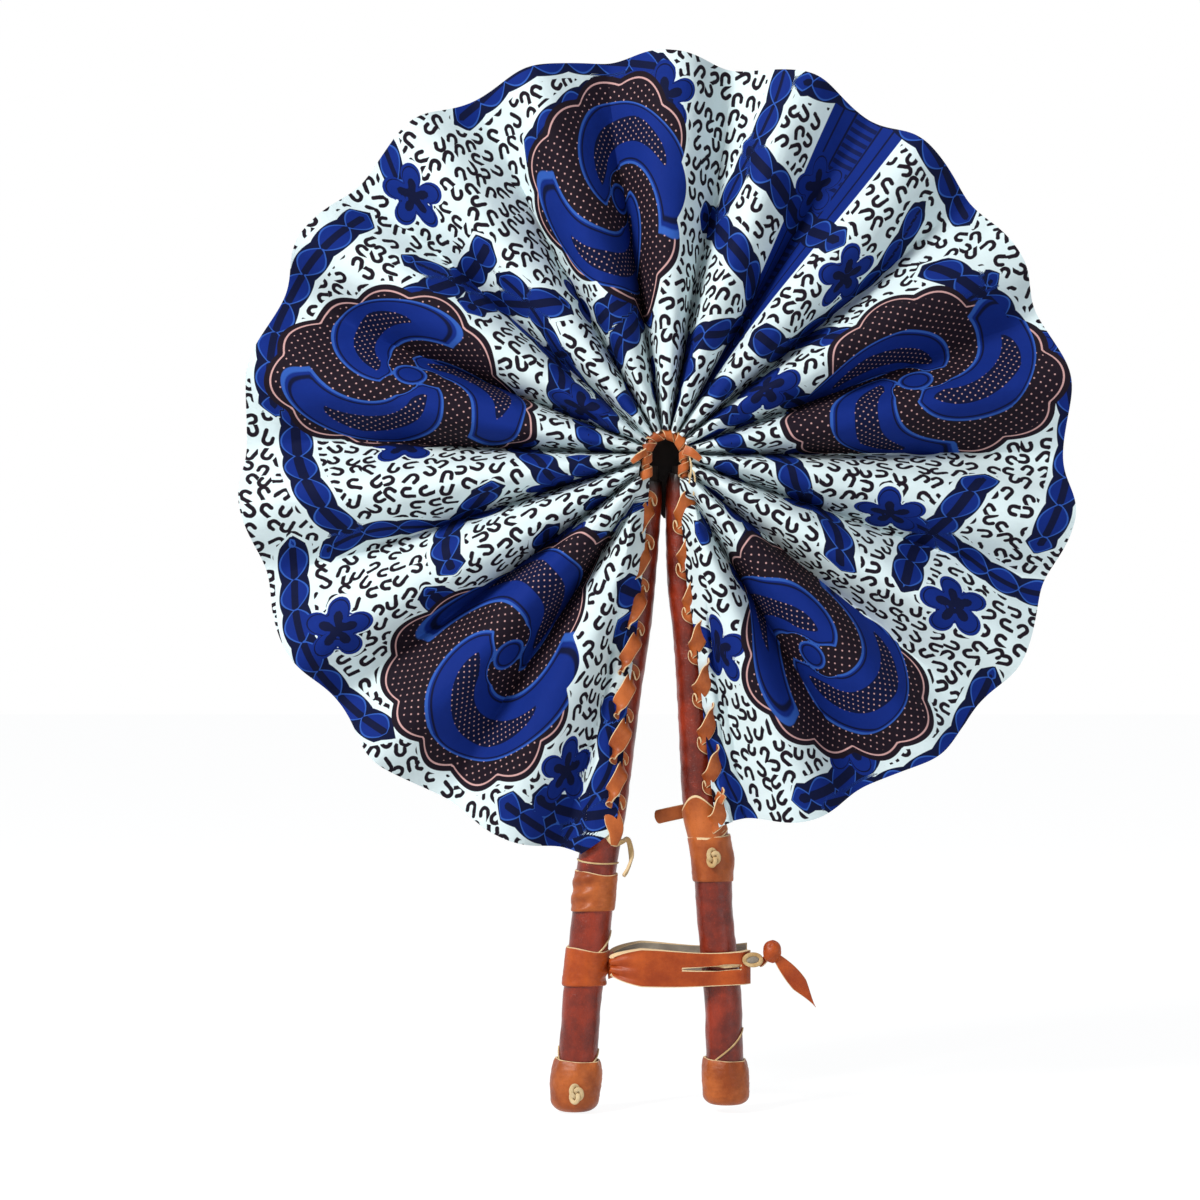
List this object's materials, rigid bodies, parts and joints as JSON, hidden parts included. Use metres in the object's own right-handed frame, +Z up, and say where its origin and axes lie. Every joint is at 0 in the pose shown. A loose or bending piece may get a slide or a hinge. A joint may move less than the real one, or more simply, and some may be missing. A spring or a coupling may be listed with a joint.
{
  "type": "folding fan",
  "caption": "Round pleated cloth fan that folds between two leather-covered sticks, with capped handles and a toggle strap that holds them together.",
  "frame": {"origin": "between the two handles where a hand closes round them, straight below the hub", "axes": "+Z up from the handles to the hub along the open fan; -Y out of the fan's front; +X to the right of someone who looks at the front"},
  "size_m": [0.2711, 0.0269, 0.3435],
  "materials": {
    "stick_wood": "plain turned hardwood, hidden in the sleeve",
    "sleeve_leather": "dark red-brown, polished, fine speckled grain, stitched along the back",
    "tan_leather": "tan vegetable-tanned, waxed, with pale raw cut edges",
    "rawhide_lace": "pale undyed lace, matt",
    "leaf_cloth": "printed cotton, royal blue, white and dark aubergine, crisply pleated",
    "hinge_leather": "black, soft, matt"
  },
  "bodies": {
    "left_stick": {"left_stick_core": "stick_wood", "left_stick_sleeve": "sleeve_leather", "left_shoulder_band": "tan_leather", "left_end_cap": "tan_leather", "left_cloth_hem": "leaf_cloth", "left_edge_lacing": "tan_leather", "left_shoulder_knot": "rawhide_lace", "left_cap_stud": "rawhide_lace", "strap_cuff": "tan_leather", "hub_collar": "tan_leather", "hub_hinge_tab": "hinge_leather"},
    "panel_00": {"leaf_panel_00": "leaf_cloth"},
    "panel_01": {"leaf_panel_01": "leaf_cloth"},
    "panel_02": {"leaf_panel_02": "leaf_cloth"},
    "panel_03": {"leaf_panel_03": "leaf_cloth"},
    "panel_04": {"leaf_panel_04": "leaf_cloth"},
    "panel_05": {"leaf_panel_05": "leaf_cloth"},
    "panel_06": {"leaf_panel_06": "leaf_cloth"},
    "panel_07": {"leaf_panel_07": "leaf_cloth"},
    "panel_08": {"leaf_panel_08": "leaf_cloth"},
    "panel_09": {"leaf_panel_09": "leaf_cloth"},
    "panel_10": {"leaf_panel_10": "leaf_cloth"},
    "panel_11": {"leaf_panel_11": "leaf_cloth"},
    "panel_12": {"leaf_panel_12": "leaf_cloth"},
    "panel_13": {"leaf_panel_13": "leaf_cloth"},
    "panel_14": {"leaf_panel_14": "leaf_cloth"},
    "panel_15": {"leaf_panel_15": "leaf_cloth"},
    "panel_16": {"leaf_panel_16": "leaf_cloth"},
    "panel_17": {"leaf_panel_17": "leaf_cloth"},
    "panel_18": {"leaf_panel_18": "leaf_cloth"},
    "panel_19": {"leaf_panel_19": "leaf_cloth"},
    "panel_20": {"leaf_panel_20": "leaf_cloth"},
    "panel_21": {"leaf_panel_21": "leaf_cloth"},
    "panel_22": {"leaf_panel_22": "leaf_cloth"},
    "panel_23": {"leaf_panel_23": "leaf_cloth"},
    "panel_24": {"leaf_panel_24": "leaf_cloth"},
    "panel_25": {"leaf_panel_25": "leaf_cloth"},
    "panel_26": {"leaf_panel_26": "leaf_cloth"},
    "panel_27": {"leaf_panel_27": "leaf_cloth"},
    "panel_28": {"leaf_panel_28": "leaf_cloth"},
    "panel_29": {"leaf_panel_29": "leaf_cloth"},
    "panel_30": {"leaf_panel_30": "leaf_cloth"},
    "panel_31": {"leaf_panel_31": "leaf_cloth"},
    "panel_32": {"leaf_panel_32": "leaf_cloth"},
    "panel_33": {"leaf_panel_33": "leaf_cloth"},
    "panel_34": {"leaf_panel_34": "leaf_cloth"},
    "panel_35": {"leaf_panel_35": "leaf_cloth"},
    "right_stick": {"right_stick_core": "stick_wood", "right_stick_sleeve": "sleeve_leather", "right_shoulder_band": "tan_leather", "right_end_cap": "tan_leather", "right_cloth_hem": "leaf_cloth", "right_edge_lacing": "tan_leather", "right_band_stud": "rawhide_lace", "right_lace_end": "tan_leather"},
    "strap_front": {"strap_front_strand": "tan_leather", "strap_toggle_thong": "tan_leather", "strap_toggle_knot": "tan_leather", "strap_toggle_tail": "tan_leather"},
    "strap_back": {"strap_back_strand": "tan_leather"}
  },
  "joints": [
    {"name": "fold_00", "type": "hinge", "parent": "left_stick", "child": "panel_00", "pos_m": [-0.00895, -0.005, 0.18369], "axis": [-0.1513, 0, -0.9885], "range_deg": [0, 59.6]},
    {"name": "fold_01", "type": "hinge", "parent": "panel_00", "child": "panel_01", "pos_m": [-0.00157, -0.00966, 0.18256], "axis": [0.2352, -0.0495, 0.9707], "range_deg": [0, 119.2]},
    {"name": "fold_02", "type": "hinge", "parent": "panel_01", "child": "panel_02", "pos_m": [-0.00185, -0.00914, 0.18265], "axis": [-0.3977, -0.0495, -0.9162], "range_deg": [0, 119.2]},
    {"name": "fold_03", "type": "hinge", "parent": "panel_02", "child": "panel_03", "pos_m": [-0.00211, -0.00966, 0.18279], "axis": [0.5485, -0.0495, 0.8347], "range_deg": [0, 119.2]},
    {"name": "fold_04", "type": "hinge", "parent": "panel_03", "child": "panel_04", "pos_m": [-0.00235, -0.00914, 0.18298], "axis": [-0.6831, -0.0495, -0.7287], "range_deg": [0, 119.2]},
    {"name": "fold_05", "type": "hinge", "parent": "panel_04", "child": "panel_05", "pos_m": [-0.00255, -0.00966, 0.1832], "axis": [0.7976, -0.0495, 0.6012], "range_deg": [0, 119.2]},
    {"name": "fold_06", "type": "hinge", "parent": "panel_05", "child": "panel_06", "pos_m": [-0.00271, -0.00914, 0.18346], "axis": [-0.8886, -0.0495, -0.456], "range_deg": [0, 119.2]},
    {"name": "fold_07", "type": "hinge", "parent": "panel_06", "child": "panel_07", "pos_m": [-0.00282, -0.00966, 0.18373], "axis": [0.9535, -0.0495, 0.2974], "range_deg": [0, 119.2]},
    {"name": "fold_08", "type": "hinge", "parent": "panel_07", "child": "panel_08", "pos_m": [-0.00289, -0.00914, 0.18403], "axis": [-0.9903, -0.0495, -0.13], "range_deg": [0, 119.2]},
    {"name": "fold_09", "type": "hinge", "parent": "panel_08", "child": "panel_09", "pos_m": [-0.0029, -0.00966, 0.18433], "axis": [0.9979, -0.0495, -0.0412], "range_deg": [0, 119.2]},
    {"name": "fold_10", "type": "hinge", "parent": "panel_09", "child": "panel_10", "pos_m": [-0.00286, -0.00914, 0.18462], "axis": [-0.9762, -0.0495, 0.2112], "range_deg": [0, 119.2]},
    {"name": "fold_11", "type": "hinge", "parent": "panel_10", "child": "panel_11", "pos_m": [-0.00277, -0.00966, 0.18491], "axis": [0.9257, -0.0495, -0.375], "range_deg": [0, 119.2]},
    {"name": "fold_12", "type": "hinge", "parent": "panel_11", "child": "panel_12", "pos_m": [-0.00264, -0.00914, 0.18518], "axis": [-0.848, -0.0495, 0.5277], "range_deg": [0, 119.2]},
    {"name": "fold_13", "type": "hinge", "parent": "panel_12", "child": "panel_13", "pos_m": [-0.00246, -0.00966, 0.18542], "axis": [0.7453, -0.0495, -0.6649], "range_deg": [0, 119.2]},
    {"name": "fold_14", "type": "hinge", "parent": "panel_13", "child": "panel_14", "pos_m": [-0.00224, -0.00914, 0.18562], "axis": [-0.6207, -0.0495, 0.7825], "range_deg": [0, 119.2]},
    {"name": "fold_15", "type": "hinge", "parent": "panel_14", "child": "panel_15", "pos_m": [-0.00199, -0.00966, 0.18579], "axis": [0.4778, -0.0495, -0.8771], "range_deg": [0, 119.2]},
    {"name": "fold_16", "type": "hinge", "parent": "panel_15", "child": "panel_16", "pos_m": [-0.00172, -0.00914, 0.18591], "axis": [-0.3208, -0.0495, 0.9459], "range_deg": [0, 119.2]},
    {"name": "fold_17", "type": "hinge", "parent": "panel_16", "child": "panel_17", "pos_m": [-0.00142, -0.00966, 0.18598], "axis": [0.1544, -0.0495, -0.9868], "range_deg": [0, 119.2]},
    {"name": "fold_18", "type": "hinge", "parent": "panel_17", "child": "panel_18", "pos_m": [-0.00112, -0.00914, 0.186], "axis": [0.0166, -0.0495, 0.9986], "range_deg": [0, 119.2]},
    {"name": "fold_19", "type": "hinge", "parent": "panel_18", "child": "panel_19", "pos_m": [-0.00083, -0.00966, 0.18597], "axis": [-0.187, -0.0495, -0.9811], "range_deg": [0, 119.2]},
    {"name": "fold_20", "type": "hinge", "parent": "panel_19", "child": "panel_20", "pos_m": [-0.00054, -0.00914, 0.18589], "axis": [0.352, -0.0495, 0.9347], "range_deg": [0, 119.2]},
    {"name": "fold_21", "type": "hinge", "parent": "panel_20", "child": "panel_21", "pos_m": [-0.00027, -0.00966, 0.18576], "axis": [-0.5066, -0.0495, -0.8608], "range_deg": [0, 119.2]},
    {"name": "fold_22", "type": "hinge", "parent": "panel_21", "child": "panel_22", "pos_m": [-0.00002, -0.00914, 0.18559], "axis": [0.6463, -0.0495, 0.7615], "range_deg": [0, 119.2]},
    {"name": "fold_23", "type": "hinge", "parent": "panel_22", "child": "panel_23", "pos_m": [0.00019, -0.00966, 0.18537], "axis": [-0.7669, -0.0495, -0.6398], "range_deg": [0, 119.2]},
    {"name": "fold_24", "type": "hinge", "parent": "panel_23", "child": "panel_24", "pos_m": [0.00036, -0.00914, 0.18513], "axis": [0.865, -0.0495, 0.4993], "range_deg": [0, 119.2]},
    {"name": "fold_25", "type": "hinge", "parent": "panel_24", "child": "panel_25", "pos_m": [0.00049, -0.00966, 0.18486], "axis": [-0.9376, -0.0495, -0.3441], "range_deg": [0, 119.2]},
    {"name": "fold_26", "type": "hinge", "parent": "panel_25", "child": "panel_26", "pos_m": [0.00057, -0.00914, 0.18457], "axis": [0.9827, -0.0495, 0.1787], "range_deg": [0, 119.2]},
    {"name": "fold_27", "type": "hinge", "parent": "panel_26", "child": "panel_27", "pos_m": [0.00059, -0.00966, 0.18427], "axis": [-0.9987, -0.0495, -0.0081], "range_deg": [0, 119.2]},
    {"name": "fold_28", "type": "hinge", "parent": "panel_27", "child": "panel_28", "pos_m": [0.00057, -0.00914, 0.18397], "axis": [0.9854, -0.0495, -0.1628], "range_deg": [0, 119.2]},
    {"name": "fold_29", "type": "hinge", "parent": "panel_28", "child": "panel_29", "pos_m": [0.0005, -0.00966, 0.18368], "axis": [-0.9431, -0.0495, 0.3288], "range_deg": [0, 119.2]},
    {"name": "fold_30", "type": "hinge", "parent": "panel_29", "child": "panel_30", "pos_m": [0.00037, -0.00914, 0.18341], "axis": [0.873, -0.0495, -0.4852], "range_deg": [0, 119.2]},
    {"name": "fold_31", "type": "hinge", "parent": "panel_30", "child": "panel_31", "pos_m": [0.00021, -0.00966, 0.18316], "axis": [-0.7772, -0.0495, 0.6273], "range_deg": [0, 119.2]},
    {"name": "fold_32", "type": "hinge", "parent": "panel_31", "child": "panel_32", "pos_m": [0, -0.00914, 0.18294], "axis": [0.6585, -0.0495, -0.7509], "range_deg": [0, 119.2]},
    {"name": "fold_33", "type": "hinge", "parent": "panel_32", "child": "panel_33", "pos_m": [-0.00024, -0.00966, 0.18276], "axis": [-0.5205, -0.0495, 0.8524], "range_deg": [0, 119.2]},
    {"name": "fold_34", "type": "hinge", "parent": "panel_33", "child": "panel_34", "pos_m": [-0.00051, -0.00914, 0.18263], "axis": [0.3671, -0.0495, -0.9289], "range_deg": [0, 119.2]},
    {"name": "fold_35", "type": "hinge", "parent": "panel_34", "child": "panel_35", "pos_m": [-0.0008, -0.00966, 0.18254], "axis": [-0.2029, -0.0495, 0.9779], "range_deg": [0, 119.2]},
    {"name": "fold_36", "type": "hinge", "parent": "panel_35", "child": "right_stick", "pos_m": [0.00653, -0.00505, 0.18342], "axis": [0.1184, 0, -0.993], "range_deg": [0, 59.6]},
    {"name": "strap_front_swing", "type": "hinge", "parent": "left_stick", "child": "strap_front", "pos_m": [-0.01686, -0.00467, 0.0182], "axis": [0, 0, -1], "range_deg": [0, 100], "deforming": ["strap_toggle_thong"]},
    {"name": "strap_back_swing", "type": "hinge", "parent": "left_stick", "child": "strap_back", "pos_m": [-0.01686, 0.00467, 0.021], "axis": [0, 0, 1], "range_deg": [0, 100]}
  ],
  "couplings": [
    {"joint": "fold_00", "follows": "fold_01", "ratio": 0.5},
    {"joint": "fold_02", "follows": "fold_01", "ratio": 1},
    {"joint": "fold_03", "follows": "fold_01", "ratio": 1},
    {"joint": "fold_04", "follows": "fold_01", "ratio": 1},
    {"joint": "fold_05", "follows": "fold_01", "ratio": 1},
    {"joint": "fold_06", "follows": "fold_01", "ratio": 1},
    {"joint": "fold_07", "follows": "fold_01", "ratio": 1},
    {"joint": "fold_08", "follows": "fold_01", "ratio": 1},
    {"joint": "fold_09", "follows": "fold_01", "ratio": 1},
    {"joint": "fold_10", "follows": "fold_01", "ratio": 1},
    {"joint": "fold_11", "follows": "fold_01", "ratio": 1},
    {"joint": "fold_12", "follows": "fold_01", "ratio": 1},
    {"joint": "fold_13", "follows": "fold_01", "ratio": 1},
    {"joint": "fold_14", "follows": "fold_01", "ratio": 1},
    {"joint": "fold_15", "follows": "fold_01", "ratio": 1},
    {"joint": "fold_16", "follows": "fold_01", "ratio": 1},
    {"joint": "fold_17", "follows": "fold_01", "ratio": 1},
    {"joint": "fold_18", "follows": "fold_01", "ratio": 1},
    {"joint": "fold_19", "follows": "fold_01", "ratio": 1},
    {"joint": "fold_20", "follows": "fold_01", "ratio": 1},
    {"joint": "fold_21", "follows": "fold_01", "ratio": 1},
    {"joint": "fold_22", "follows": "fold_01", "ratio": 1},
    {"joint": "fold_23", "follows": "fold_01", "ratio": 1},
    {"joint": "fold_24", "follows": "fold_01", "ratio": 1},
    {"joint": "fold_25", "follows": "fold_01", "ratio": 1},
    {"joint": "fold_26", "follows": "fold_01", "ratio": 1},
    {"joint": "fold_27", "follows": "fold_01", "ratio": 1},
    {"joint": "fold_28", "follows": "fold_01", "ratio": 1},
    {"joint": "fold_29", "follows": "fold_01", "ratio": 1},
    {"joint": "fold_30", "follows": "fold_01", "ratio": 1},
    {"joint": "fold_31", "follows": "fold_01", "ratio": 1},
    {"joint": "fold_32", "follows": "fold_01", "ratio": 1},
    {"joint": "fold_33", "follows": "fold_01", "ratio": 1},
    {"joint": "fold_34", "follows": "fold_01", "ratio": 1},
    {"joint": "fold_35", "follows": "fold_01", "ratio": 1},
    {"joint": "fold_36", "follows": "fold_01", "ratio": 0.5}
  ]
}
